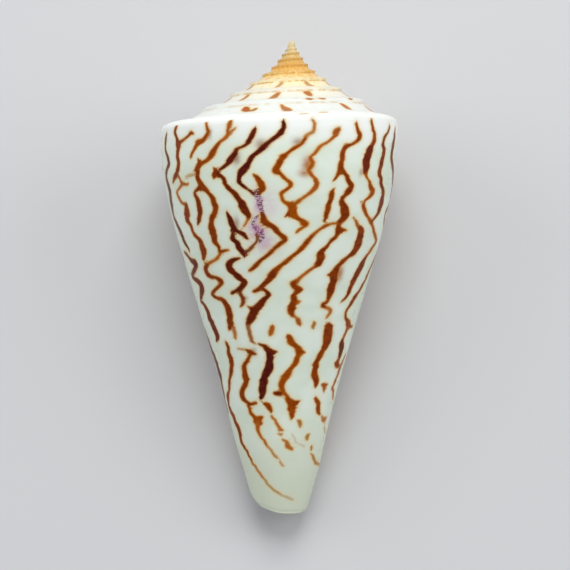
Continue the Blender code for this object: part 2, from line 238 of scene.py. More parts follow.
     (12, 175, 3.8), (10, 182, 5), (11.5, 191, 6), (9.5, 200, 5), (12, 210, 5), (13.8, 220, 7.5),
     (12, 229, 6), (9, 236, 3.8), (5.5, 243, 3.8), (3, 248, 5)),
    (0.6, 1, (34.5, 130, 4), (34.8, 138, 5), (37, 147, 7.5), (36, 153, 5), (34, 157, 3.5), (31, 161, 4),
     (28, 165, 8), (27, 177, 7.5), (26.5, 188, 8), (26, 197, 9.5), (24.6, 204, 5), (23, 212, 3.5)),
    (0.65, 1, (27, 198, 7), (30, 206, 6), (32.5, 215, 8), (34.3, 221, 7), (32, 228, 9), (30, 234, 6.5),
     (28.6, 240, 7), (30.5, 250, 12), (32, 258, 15), (33.3, 263, 10), (31, 268, 9), (28.6, 275, 4),
     (29.5, 282, 9.5), (27.8, 293, 5.5), (24.5, 300, 5), (23.3, 307, 5), (21, 314, 9), (20, 323, 12),
     (19.3, 331, 10), (16.8, 337, 5)),
    (0.55, 1, (29.5, 282, 9), (32, 283, 6), (34.6, 283, 2)),
    (0.4, 0.95, (17.2, 336, 5), (12, 346, 4.2), (9, 352, 4.2), (6, 359, 5)),
    (0.6, 1, (7, 357, 5), (3.4, 363, 7), (6, 368, 8.5), (9.3, 371, 4.5), (5.5, 377, 7), (5, 384, 9),
     (4.6, 393, 10), (2.8, 402, 9), (4, 408, 4.5)),
    (0.5, 1, (5, 387, 7), (8.8, 388, 3)),
    (0.45, 0.9, (4, 408, 4), (7.5, 411, 2.5), (9.6, 415, 7), (9.8, 419, 6)),
    (0.5, 1, (2.5, 440, 9), (4.5, 446, 9), (8, 452, 8), (11, 460, 10.5), (14.7, 461, 4)),
    (0.45, 1, (11, 463, 9), (9.5, 475, 7.5), (6, 484, 7), (3, 492, 8), (0, 498, 8.5), (-2.6, 505, 10),
     (-2.6, 513, 8), (-1, 520, 4.5), (0.5, 524, 4.5), (3.5, 530, 7)),
    (0.7, 1, (-2.5, 521, 4), (-5, 522, 7.5), (-8.7, 522, 6)),
    (0.55, 1, (3.5, 530, 7), (7, 535, 11), (10.5, 537, 10), (14.2, 534, 4)),
    (0.5, 1, (8, 540, 10), (7.8, 547, 9.5), (7.8, 557, 5.5)),
    (0.6, 1, (23.5, 226, 3.5), (22.2, 234, 7.5), (21.6, 247, 8), (20.6, 260, 7.5), (20, 269, 5)),
    (0.05, 0.9, (20.8, 419, 5), (21.3, 423, 6)),
    # Third column from the right
    (0.4, 0.9, (39.3, 266, 3), (42.3, 274, 5), (44.5, 279, 7)),
    (0.65, 1, (44.5, 279, 8), (46.3, 284, 13), (47, 293, 15), (46.5, 303, 14.5), (44.6, 313, 12),
     (40.5, 321, 5), (36.5, 328, 6.5), (33.3, 336, 7.5), (31.5, 346, 12.5), (31.8, 358, 13),
     (31.3, 370, 12.5), (30.4, 379, 7.5), (29, 387, 4), (25.3, 392, 5.5), (29, 395, 4)),
    (0.3, 0.9, (29, 395, 4), (33.5, 398, 4.5), (34.5, 402, 4), (31, 410, 2.2)),
    (0.6, 1, (27.2, 348, 3), (29.5, 348, 8), (31.5, 351, 10)),
    (0.6, 1, (35.2, 425, 15), (35.3, 433, 16), (35.7, 443, 15.5), (35, 453, 12), (33, 462, 8),
     (29.5, 472, 7.5), (28.2, 481, 10), (29, 492, 10), (31, 501, 10), (32.5, 509, 7)),
    (0.5, 0.95, (41, 508, 2.5), (44, 510, 7), (48, 509, 2.5)),
    (0.45, 0.9, (44, 512, 5), (44.5, 518, 3)),
    (0.55, 1, (34.2, 528, 3), (36.5, 532, 6.5), (39.5, 538, 8), (42.5, 546, 8), (44.5, 551, 5)),
    (0.1, 0.9, (17, 562, 3), (19, 564, 5.5), (19.3, 569, 3.5)),
    (0.05, 0.9, (32.5, 583, 3), (31.3, 585, 5.5), (31.3, 588, 4)),
    (0.05, 0.85, (41.5, 601, 4), (42.4, 603, 4)),
    # Second column from the right
    (0.55, 1, (44.7, 124, 4), (45.5, 133, 5), (47, 142, 6), (47.7, 150, 7.5), (46.2, 160, 9)),
    (0.8, 1, (46.2, 160, 9), (44, 170, 12), (42.5, 180, 15), (42.5, 190, 14), (42, 198, 9)),
    (0.45, 1, (42.3, 199, 7), (44, 205, 4), (46.5, 214, 5), (49, 222, 9.5), (51, 226, 7), (48.5, 233, 6),
     (45, 240, 3.8), (44.5, 247, 7), (47.5, 256, 6), (51, 264, 5), (54.5, 270, 6), (58, 277, 5),
     (62.5, 286, 6), (67, 293, 6), (69.5, 298, 7.5), (66, 305, 5), (61.5, 314, 5), (58.5, 320, 6)),
    (0.2, 0.6, (44.5, 242, 3), (42, 242, 2)),
    (0.7, 1, (58.2, 322, 8), (56.2, 332, 13), (53.8, 342, 13), (52, 351, 12), (50, 360, 9), (48.5, 370, 8),
     (46.5, 380, 5.5), (43, 386, 2.2)),
    # Right outline
    (0.7, 1, (62, 129, 3.5), (60.5, 138, 5), (57, 147, 5), (56, 155, 7), (57, 165, 9), (56.5, 175, 10),
     (55.5, 185, 10), (54.5, 195, 10), (55.5, 203, 9), (58, 213, 8), (61, 223, 8.5), (62.8, 232, 12),
     (62.7, 242, 15), (62, 250, 12), (61, 256, 6), (58, 263, 5), (55.5, 269, 5)),
    (0.8, 1, (72, 132, 4.5), (71.5, 145, 10), (69.5, 157, 11), (68.3, 165, 11), (68.7, 175, 11),
     (71, 183, 11), (74, 191, 11), (76.5, 199, 12), (79, 209, 12), (82, 220, 14), (84, 234, 13),
     (80, 246, 6), (75, 254, 7), (76.5, 264, 6), (81, 272, 5), (86, 280, 5), (90, 288, 6)),
    (0.65, 1, (84, 312, 6), (80, 322, 8), (76, 331, 8), (72, 342, 7), (69, 353, 7), (65.5, 363, 7),
     (62, 372, 6), (58, 380, 8), (55, 389, 7), (52, 397, 5), (51, 403, 5), (52.5, 410, 4.5), (56, 416, 8)),
    (0.55, 1, (56, 416, 8), (59.5, 420, 11), (64, 423, 5), (69, 423, 2.5)),
    (0.5, 0.9, (59, 423, 9), (58, 433, 7), (56.4, 440, 6)),
    (0.85, 1, (56, 442, 6), (56.7, 449, 12), (58, 457, 13.5), (58.7, 464, 10), (58.2, 470, 5)),
    (0.55, 1, (53.5, 477, 3.5), (56.5, 478, 11), (60, 481, 7), (63, 481, 3.5)),
    (0.5, 0.9, (72, 466, 5), (69, 476, 6), (66, 487, 7), (64, 498, 6), (61, 508, 4.5), (58.5, 514, 4.5),
     (62, 517, 4), (66, 523, 5), (70, 530, 3.5)),
    (0.3, 0.8, (49.5, 556, 2.5), (53, 559, 4), (57, 561, 8), (61, 559, 4)),
    (0.2, 0.5, (62, 572, 2), (66, 577, 3.5), (70, 581, 2)),
    (0.6, 0.25, (10, 582, 1.4), (15, 591, 1.6), (20, 596, 1.6), (27, 600, 1.4)),
    (0.1, 0.8, (43.5, 612, 2), (50, 618, 4.2), (56, 624, 4.5), (62, 626, 3.5), (72, 628, 2.8),
     (90, 629, 1.5)),
)

# Blotches of the ramps, as the lines are, but with widths in mm, and with places across the ramp, from 0 at
# the suture to 1 at the shoulder edge, instead of depths. The bearing goes on past 360 further in.
RAMP_MARKS = (
    (0.25, 1, (-30.2, 0.10, 0.6), (-28.8, 0.19, 1.1), (-27, 0.28, 0.8)),
    (0.1, 0.95, (-25, 0.30, 0.4), (-23.4, 0.28, 0.6), (-22.6, 0.20, 0.5)),
    (0.25, 0.85, (-6.6, 0.05, 0.3), (-5.4, 0.13, 0.4), (-3.8, 0.22, 0.7), (-2, 0.33, 1.2),
     (-1.4, 0.44, 1.1)),
    (0.28, 0.85, (38.2, 0.04, 0.4), (38.9, 0.12, 0.7), (39.6, 0.22, 1), (40.2, 0.32, 0.9)),
    (0.22, 0.8, (348.7, 0.04, 0.5), (346.3, 0.30, 1), (344.3, 0.60, 0.8)),
    (0.22, 0.85, (375.8, 0.03, 0.6), (376.6, 0.14, 0.95), (377.4, 0.26, 0.85), (378, 0.34, 0.4)),
    (0.22, 0.8, (315.5, 0.03, 0.5), (314, 0.42, 0.7)),
    (0.15, 0.6, (706, 0.1, 0.5), (702, 0.5, 0.5)),
    (0.15, 0.6, (742, 0.1, 0.6), (748, 0.5, 0.7)),
    (0.6, 0.9, (411, 0.95, 0.5), (413, 1, 0.5)),
    (0.5, 0.9, (373, 0.96, 0.45), (375, 1, 0.45)),
    (0.2, 0.8, (382, 0.93, 0.5), (384, 0.97, 0.5)),
    (0.6, 0.4, (4, 0.98, 0.2), (8, 0.98, 0.2)),
    (0.3, 0.5, (14, 0.92, 0.25), (18, 0.92, 0.3)),
)

# The pink stain in the middle of the near side: bearing, depth, radius across and down in mm, strength
STAINS = (
    (-14.8, 24.9, 0.9, 2.4, 0.85),
    (-16.5, 28.6, 1.5, 2.3, 0.95),
    (-12.0, 30.6, 1.7, 1.5, 0.65),
    (-10.8, 25.0, 1.7, 2.3, 0.35),
)

# Soft brown smudges beside some of the lines, in the same terms
SMUDGES = (
    (-25.6, 18.5, 0.65, 0.85, 0.85),
    (-13.5, 16.4, 0.85, 0.80, 0.7),
    (-39.8, 14.9, 0.40, 0.70, 0.8),
    (3.6, 16.0, 0.80, 0.60, 0.75),
    (-28.5, 38.4, 0.50, 0.40, 0.6),
    (-27.9, 27.7, 0.50, 0.95, 0.7),
    (-26.5, 46.2, 0.55, 0.60, 0.6),
    (38.5, 43.4, 0.50, 0.40, 0.5),
)
TAN_PATCHES = (
    (8.8, 19.1, 0.85, 1.10, 0.95),
    (7.4, 20.4, 0.85, 0.55, 0.90),
    (35.6, 34.6, 0.75, 1.20, 0.90),
    (39.2, 19.9, 0.45, 0.60, 0.70),
)

# The lines of the side that faces away, drawn in the same manner from chance, in degrees and mm
HIDDEN_SEED = 11
HIDDEN_RIGHT = (96.0, 224.0)
HIDDEN_LEFT = (-132.0, -92.0)
HIDDEN_SPACING = 11.8
HIDDEN_TOP = 12.9
HIDDEN_BREAKS = (27.5, 44.0, 54.5, 61.0)  # depths at which the lines end and others go on
HIDDEN_GAP = 0.7
WHOLE_PARTS = 2  # further down, every other line is left out
LAST_PART_SHARE = 0.5
START_SHIFT = 1.5
TOP_SHIFT = 0.8
BREAK_SHIFT = 2.2
HIDDEN_SPREAD = 4.5  # degrees to each side, and more by this share in each part further down
HIDDEN_WIDENING = 0.35
HIDDEN_STRIDES = (0.7, 1.5)
HIDDEN_SLANTS = (0.8, 2.6)
HIDDEN_TURNS = 0.2
HIDDEN_WIDTHS = (0.45, 0.96)
HIDDEN_KNOTS = (0.9, 1.2)
HIDDEN_ENDS = (0.3, 0.25)
HIDDEN_TONES = (0.4, 0.8)
BLOT_TURNS = 3
BLOT_BEARINGS = (75.0, 300.0, 30.0)  # from, to and how far apart
BLOT_SHIFT = 9.0
BLOT_TOP = 0.15
BLOT_LEAN = 4.0
BLOT_STEP = 0.2
BLOT_WIDTHS = (0.45, 0.9, 0.6)
BLOT_TONES = (0.15, 0.5)
BLOT_FADE = 0.2

# Drawing of the lines, in mm
LINE_CUTS = 5
FAR = 1.4
UNMARKED = {  # values where no marking reaches
    "line": FAR, "side": FAR, "half": 0.2, "tone": 0.5,
    "strength": 0.0, "stain": 0.0, "smudge": 0.0, "tan": 0.0,
}
THINNEST = 0.2
TINY = 1e-9
LINE_BLEND = 0.18
SLOPE_LENGTH = 1.03
RAMP_LENGTH = 1.12
JAGS = ((1.15, 0.055, 0.4), (1.9, 0.07, 2.1), (3.1, 0.08, 4.0))  # length down, size, phase
JAG_SPREAD = 37.0
JAG_SWING = (1.3, 0.37)  # how far the pace of each wave swings, and how fast
# width of the amber suture line, partly painted shade, as a share of the ramp
SUTURE_WIDTH = 0.14
RAMP_MARKED_FROM = -1500.0

# Colours, as seen in even light, but for the painted highlight along the shoulder edge and the amber suture
# line, which is partly painted shade
BODY_COLOURS = ((222, 233, 215), (232, 241, 227))
BASE_COLOUR = (214, 221, 198)
SHOULDER_COLOUR = (232, 234, 226)
# painted highlight: near-white along the shoulder edge, where the light from the apex side falls brightest
EDGE_PAINTED_HIGHLIGHT = (250, 252, 246)
SPIRE_COLOURS = (  # by the distance from the axis, in mm
    (0.0, (218, 212, 184)),
    (0.8, (216, 196, 146)),
    (1.8, (216, 170, 92)),
    (2.8, (226, 174, 92)),
    (3.9, (236, 196, 124)),
    (5.4, (246, 230, 184)),
    (8.0, (238, 234, 214)),
    (11.5, SHOULDER_COLOUR),
)
SPIRE_REACH = 12.0
INSIDE_COLOUR = (246, 240, 228)
# amber suture line, partly the shell's own colour and partly painted shade under each whorl's edge
SUTURE_LINE_AND_PAINTED_SHADE = (202, 152, 60)
LINE_COLOURS = (  # by tone
    (0.0, (160, 120, 42)),
    (0.25, (174, 88, 8)),
    (0.5, (148, 64, 0)),
    (0.75, (110, 36, 2)),
    (1.0, (78, 16, 12)),
)
RIM_COLOUR = (196, 116, 20)
HALO_COLOUR = (206, 156, 64)
HAZE_COLOUR = (232, 216, 168)
STAIN_COLOUR = (200, 148, 178)
SMUDGE_COLOUR = (144, 98, 74)
TAN_COLOUR = (176, 108, 48)
VIOLET = (122, 50, 78)

# Noise of the shell's material: its scale, how it is stretched round the shell and down it, and its detail
NOISES = {
    "cloud": (1.6, 1.0, 1.4, 2.0),
    "coil": (9.0, 1.0, 2.0, 2.0),
    "groove": (8.0, 1.0, 1.0, 2.0),
    "stain": (14.0, 1.0, 1.0, 2.0),
    "ragged": (30.0, 1.0, 1.7, 2.0),
    "tone": (11.0, 1.0, 1.7, 2.0),
    "net": (45.0, 1.0, 1.3, 2.0),
    "wear": (6.0, 1.0, 1.5, 1.0),
    "growth": (26.0, 1.0, 0.05, 1.0),
    "threads": (22.0, 0.06, 1.0, 2.0),
}

# Grades of the shell's material: the value at which each one starts, and the one at which it is full
GRADES = {
    "cloud": (0.35, 0.65),
    "base": (5.0, 7.0),  # cm below the apex
    # painted highlight near the shoulder edge, also in cm below the apex
    "edge": (1.75, 1.3),
    "spire": (SPIRE_REACH, SPIRE_REACH * 1.6),  # mm from the axis
    # the amber suture line and its painted shade
    "groove": (0.4, 1.0),
    "groove reach": (SPIRE_REACH * 1.8, 1.0),
    "groove breaks": (0.3, 0.65),
    "stain": (0.15, 0.5),
    "haze": (0.9, 0.0),  # mm outside the edge of a line
    "halo": (0.34, -0.05),
    "stroke": (0.15, -0.09),
    "core": (0.03, -0.2),
    "orange below": (1.2, 0.1),  # tone of a line
    "orange above": (-0.15, 0.35),
    "violet": (0.9, 0.96),
    "brown": (0.5, 0.1),  # amount of violet
    "net": (0.3, 0.6),
    "gaps": (0.58, 0.42),
}
COIL_WAVER = 2.1
LINE_WAVER = 0.08
LINE_SLACK = (-0.1, 0.08)  # bounds of the sharp edge about the blended one, in mm
TONE_WAVER = 0.22
HAZE_AMOUNT = 0.5
HALO_AMOUNT = 0.75
GAP_DEPTH = 0.85  # how much of a violet line its gaps take away
ROUGHNESS = 0.24
WEAR = 0.1
GLOSS = {"IOR": 1.22, "Specular IOR Level": 0.3, "Coat Weight": 0.03, "Coat Roughness": 0.1}
BUMP = {"Strength": 0.05, "Distance": 0.0001}
THREAD_SHARE = 0.4


def smooth(low, high, value):
    t = np.clip((value - low) / (high - low), 0.0, 1.0)
    return t * t * (3.0 - 2.0 * t)


def through(points, x):
    """A smooth curve through points, whose slope at each point is that of its two neighbours."""
    xs, ys = np.array(points).T
    slopes = np.empty(len(xs))
    slopes[1:-1] = (ys[2:] - ys[:-2]) / (xs[2:] - xs[:-2])
    slopes[0] = (ys[1] - ys[0]) / (xs[1] - xs[0])
    slopes[-1] = (ys[-1] - ys[-2]) / (xs[-1] - xs[-2])
    x = np.clip(x, xs[0], xs[-1])
    i = np.clip(np.searchsorted(xs, x, side="right") - 1, 0, len(xs) - 2)
    width = xs[i + 1] - xs[i]
    t = (x - xs[i]) / width
    return (
        ys[i] * (1 + 2 * t) * (1 - t) ** 2
        + slopes[i] * width * t * (1 - t) ** 2
        + ys[i + 1] * t * t * (3 - 2 * t)
        + slopes[i + 1] * width * t * t * (t - 1)
    )


def azimuth(angle):
    return np.radians(LIP_AZIMUTH - angle)


def edge_radius(angle):
    return EDGE_INSET * BODY_PROFILE[0][1] * GROWTH ** ((angle - FRONT_ANGLE) / 360.0)


def edge_depth(angle):
    radius = edge_radius(angle)
    depth = SHOULDER_DEPTH * (radius / SHOULDER_RADIUS) ** SHOULDER_POWER
    depth = depth - TIP_LIFT * np.exp(-((radius / TIP_RADIUS) ** 2))
    dip = SHOULDER_DIP * np.exp(-(((angle - DIP_ANGLE) / DIP_WIDTH) ** 2))
    return depth - SPIRE_LEAN * radius * np.cos(azimuth(angle)) + dip


def step_depth(angle):
    return STEP_DEPTH * (edge_radius(angle) / STEP_RADIUS) ** STEP_POWER


def band(value, limits):
    """1 between the two middle limits, fading to 0 at the outer two."""
    start, full, fading, end = limits
    return smooth(start, full, value) * (1.0 - smooth(fading, end, value))


def bead(angle):
    """Height of the small beads on the shoulder edges of the early whorls."""
    size = BEAD_HEIGHT * band(edge_radius(angle), BEAD_RADII)
    return size * np.cos(np.radians(angle * BEADS_PER_TURN))


def ridge(angle):
    """How far the shoulder edge of the early whorls stands out."""
    return RIDGE_HEIGHT * band(edge_radius(angle), RIDGE_RADII)


def body_radius(angle, depth):
    growth = GROWTH + (GROWTH_AT_BASE - GROWTH) * smooth(*BASE_GROWTH_DEPTHS, depth)
    radius = through(BODY_PROFILE, depth) * growth ** ((angle - FRONT_ANGLE) / 360.0)
    below_edge = np.maximum(depth - edge_depth(angle), 0.0)
    radius = radius * (1.0 - (1.0 - EDGE_INSET) * (1.0 - smooth(0.0, SHOULDER_ROUND, below_edge)))
    columella = 1.0 - smooth(*PINCH_ANGLES, angle)
    return radius * (1.0 - PINCH * columella * smooth(PINCH_FROM, BASE_MARGIN[0][1], depth))


def wall(back, depth):
    deep = DEEP_WALL + (DEEP_WALL_AT_BASE - DEEP_WALL) * smooth(*DEEP_WALL_DEPTHS, depth)
    return LIP_WALL + (deep - LIP_WALL) * smooth(0.0, WALL_THICKENS_OVER, back)


def swept(angle, row):
    if row <= RAMP_ROWS:
        return angle - NOTCH_SWEEP * math.sin(math.pi * row / RAMP_ROWS)
    return angle + LIP_SWEEP * math.sin(math.pi * (row - RAMP_ROWS) / BODY_ROWS)


def outer_row(angle, row):
    """Radius and depth of a row of the outside, for an array of angles."""
    before = angle - 360.0
    suture = edge_depth(before) + step_depth(before)
    if row < RAMP_ROWS:
        inner = edge_radius(before) / EDGE_INSET + bead(before)
        along = RAMP_PLACES[row - 1]
        down = through(RAMP, along)
        height = bead(angle) * smooth(BEADS_FROM, RAMP_END, along)
        height = height + ridge(angle) * smooth(RIDGE_FROM, RAMP_END, along)
        radius = inner + (edge_radius(angle) - inner) * along + height
        return radius, suture + (edge_depth(angle) - suture) * down - height
    top = edge_depth(angle) + step_depth(angle)
    if row == RAMP_ROWS:
        return edge_radius(angle) / EDGE_INSET + bead(angle), top
    top = top + ROOF_DEPTH * min((row - RAMP_ROWS) / COARSE_ROW, 1.0)
    share = max(row - RAMP_ROWS - COARSE_ROW, 0) / (BODY_ROWS - COARSE_ROW)
    depth = top + (through(BASE_MARGIN, angle) - top) * share
    return body_radius(angle, depth), depth


def inner_row(angle, row, back):
    """Radius and depth of a row of the hollow: its roof, then the inside of the wall."""
    if row > RAMP_ROWS:
        radius, depth = outer_row(angle, row)
        return radius - wall(back, depth), depth
    thickness = wall(back, edge_depth(angle))
    roof_in = body_radius(angle - 360.0, edge_depth(angle) + ROOF_DEPTH)
    roof_top = edge_depth(angle - 360.0) + step_depth(angle - 360.0) + ROOF_DEPTH
    roof_out = edge_radius(angle) - thickness
    if row == RAMP_ROWS:
        return roof_out, edge_depth(angle) + thickness + ROOF_CORNER
    along = RAMP_PLACES[row - 1]
    down = through(RAMP, along)
    roof = roof_top + (edge_depth(angle) + thickness - roof_top) * down
    return roof_in + (roof_out - roof_in) * along, roof


def place(angle, radius, depth):
    turn = azimuth(angle)
    return np.stack([radius * np.cos(turn), radius * np.sin(turn), -depth], axis=-1)


def column_angles():
    """Growth angles of one turn's columns, from just past the lip's place round to it again."""
    parts = []
    for start, end, step in (
        (0.0, FINE_FROM, COARSE_STEP),
        (FINE_FROM, FINE_TO, FINE_STEP),
        (FINE_TO, 360.0, COARSE_STEP),
    ):
        count = int(round((end - start) / step))
        parts.append(start + (end - start) * np.arange(count) / count)
    return np.concatenate(parts)


def thread(points):
    """A smooth run of closely set points through the given ones, widths with them."""
    points = np.array(points, dtype=float)
    ends = np.vstack([2 * points[0] - points[1], points, 2 * points[-1] - points[-2]])
    runs = []
    for before, start, end, after in zip(ends, ends[1:], ends[2:], ends[3:]):
        t = np.linspace(0.0, 1.0, LINE_CUTS, endpoint=False)[:, None]
        runs.append(
            0.5 * (2 * start + (end - before) * t + (2 * before - 5 * start + 4 * end - after) * t**2
                   + (3 * start - before - 3 * end + after) * t**3)
        )
    return np.vstack(runs + [points[-1:]])


def hidden_lines():
    """Zigzag lines for the side that faces away. Fewer of them go on towards the base."""
    chance = np.random.default_rng(HIDDEN_SEED)
    lines = []
    starts = [*np.arange(*HIDDEN_RIGHT, HIDDEN_SPACING), *np.arange(*HIDDEN_LEFT, HIDDEN_SPACING)]
    for number, bearing in enumerate(starts):
        breaks = [depth + chance.uniform(-BREAK_SHIFT, BREAK_SHIFT) for depth in HIDDEN_BREAKS]
        tops = [HIDDEN_TOP + chance.uniform(0.0, TOP_SHIFT)] + [end + HIDDEN_GAP for end in breaks[:-1]]
        for part, (top, end) in enumerate(zip(tops, breaks)):
            if part < WHOLE_PARTS or (number + part) % 2 == 0:
                start = bearing + chance.uniform(-START_SHIFT, START_SHIFT)
                lines.append(hidden_line(chance, start, top, end, part))
    return lines


def hidden_line(chance, start, depth, end, part):
    """One line from a depth to an end: strides to one side, then to the other, with knots where it turns."""
    lean = chance.choice([-1.0, 1.0])
    spread = HIDDEN_SPREAD * (1.0 + HIDDEN_WIDENING * part)
    faint = LAST_PART_SHARE if part == len(HIDDEN_BREAKS) - 1 else 1.0
    bearing = start
    points = [(start, depth, HIDDEN_ENDS[0])]
    while depth < end:
        stride = chance.uniform(*HIDDEN_STRIDES)
        depth += stride
        bearing += lean * chance.uniform(*HIDDEN_SLANTS) * spread / HIDDEN_SPREAD * stride
        turning = (bearing - start) * lean > spread or chance.random() < HIDDEN_TURNS
        width = chance.uniform(*(HIDDEN_KNOTS if turning else HIDDEN_WIDTHS))
        points.append((bearing, depth, width * faint))
        if turning:
            lean = -lean
    points.append((bearing + lean, depth + HIDDEN_GAP, HIDDEN_ENDS[1]))
    return (chance.uniform(*HIDDEN_TONES) * faint, 1.0, *points)


class Markings:
    """What the material needs at each point, such as how far off the nearest line's edge is, in mm."""

    def __init__(self, count):
        self.values = {name: np.full(count, start) for name, start in UNMARKED.items()}

    def draw(self, lines, chosen, across, down, scale_across, scale_down):
        """Lines over the chosen points. The scales turn the lines' two units into mm at each point."""
        for tone, strength, *points in lines:
            run = thread(points)
            reach = FAR / scale_down.min()
            near = (down > run[:, 1].min() - reach) & (down < run[:, 1].max() + reach)
            reach = FAR / scale_across
            near &= (across > run[:, 0].min() - reach) & (across < run[:, 0].max() + reach)
            if not near.any():
                continue
            gap, side, half = self.gap(run, across[near], down[near], scale_across[near], scale_down[near])
            ids = chosen[near]
            line = self.values["line"]
            closer = gap < line[ids]
            for name, new in (("side", side), ("half", half), ("tone", tone), ("strength", strength)):
                values = self.values[name]
                values[ids] = np.where(closer, new, values[ids])
            line[ids] = blend(line[ids], gap)

    def gap(self, run, across, down, scale_across, scale_down):
        """Distance to a line's edge, distance to its middle, below 0 on one side, and half its width."""
        best, side, halves = (np.full(len(across), FAR) for _ in range(3))
        for start, end in zip(run, run[1:]):
            x = (across - start[0]) * scale_across
            y = (down - start[1]) * scale_down
            dx = (end[0] - start[0]) * scale_across
            dy = (end[1] - start[1]) * scale_down
            t = np.clip((x * dx + y * dy) / np.maximum(dx * dx + dy * dy, TINY), 0.0, 1.0)
            half = 0.5 * (start[2] + (end[2] - start[2]) * t)
            away = np.hypot(x - t * dx, y - t * dy)
            closer = away - half < best
            best = np.where(closer, away - half, best)
            side = np.where(closer, np.copysign(away, x * dy - y * dx), side)
            halves = np.where(closer, half, halves)
        return best, side, halves

    def blot(self, name, patches, chosen, across, down, scale_across):
        values = self.values[name]
        for bearing, depth, wide, high, amount in patches:
            x = (across - bearing) * scale_across / wide
            y = (down - depth) / high
            values[chosen] = np.maximum(values[chosen], amount * np.exp(-(x * x + y * y)))


def blend(one, other):
    """The lesser of two distances, rounded where the two are nearly the same."""
    share = np.clip(0.5 + 0.5 * (one - other) / LINE_BLEND, 0.0, 1.0)
    return one + (other - one) * share - LINE_BLEND * share * (1.0 - share)


def mark(points, angles, places, inside):
    """Markings for every point of the mesh."""
    marks = Markings(len(points))
    depth = -points[:, 2]
    degree = np.maximum(np.hypot(points[:, 0], points[:, 1]), THINNEST) * math.pi / 180.0
    bearing = FRONT_ANGLE - angles
    bearing = bearing + jag(bearing, depth) / degree
    outside = inside < 0.5
    body = np.flatnonzero(outside & (places > RAMP_END) & (angles > BODY_START - 1.0))
    chosen = (body, bearing[body], depth[body], degree[body])
    lines = [(tone, strength, *np.multiply(run, STREAK_UNITS)) for tone, strength, *run in STREAKS]
    marks.draw(lines + hidden_lines(), *chosen, np.full(len(body), SLOPE_LENGTH))
    for name, patches in (("stain", STAINS), ("smudge", SMUDGES), ("tan", TAN_PATCHES)):
        marks.blot(name, patches, *chosen)
    ramp = np.flatnonzero(outside & (places <= RAMP_END) & (angles > RAMP_MARKED_FROM))
    width = (edge_radius(angles[ramp]) - edge_radius(angles[ramp] - 360.0)) * RAMP_LENGTH
    chosen = (ramp, bearing[ramp], places[ramp], degree[ramp])
    marks.draw(list(RAMP_MARKS) + hidden_ramp_marks(), *chosen, width)
    return marks.values


def jag(bearing, depth):
    """How far the lines are set aside, in mm. They run in small steps from one spiral thread to the next."""
    steps = np.zeros(len(depth))
    swing, pace = JAG_SWING
    for length, size, phase in JAGS:
        turn = 2.0 * math.pi * (depth / length + bearing / JAG_SPREAD) + phase
        steps += size * np.sin(turn + swing * np.sin(turn * pace + phase))
    return steps


def hidden_ramp_marks():
    """Blotches for the ramps of the side that faces away, fainter on each turn further in."""
    chance = np.random.default_rng(HIDDEN_SEED + 1)
    blots = []
    for turn in range(BLOT_TURNS):
        for bearing in np.arange(*BLOT_BEARINGS):
            start = bearing + 360.0 * turn + chance.uniform(-BLOT_SHIFT, BLOT_SHIFT)
            top = chance.uniform(0.0, BLOT_TOP)
            lean = chance.uniform(-BLOT_LEAN, BLOT_LEAN)
            run = [(start + lean * i, top + BLOT_STEP * i, width) for i, width in enumerate(BLOT_WIDTHS)]
            blots.append((chance.uniform(*BLOT_TONES), 1.0 - BLOT_FADE * turn, *run))
    return blots


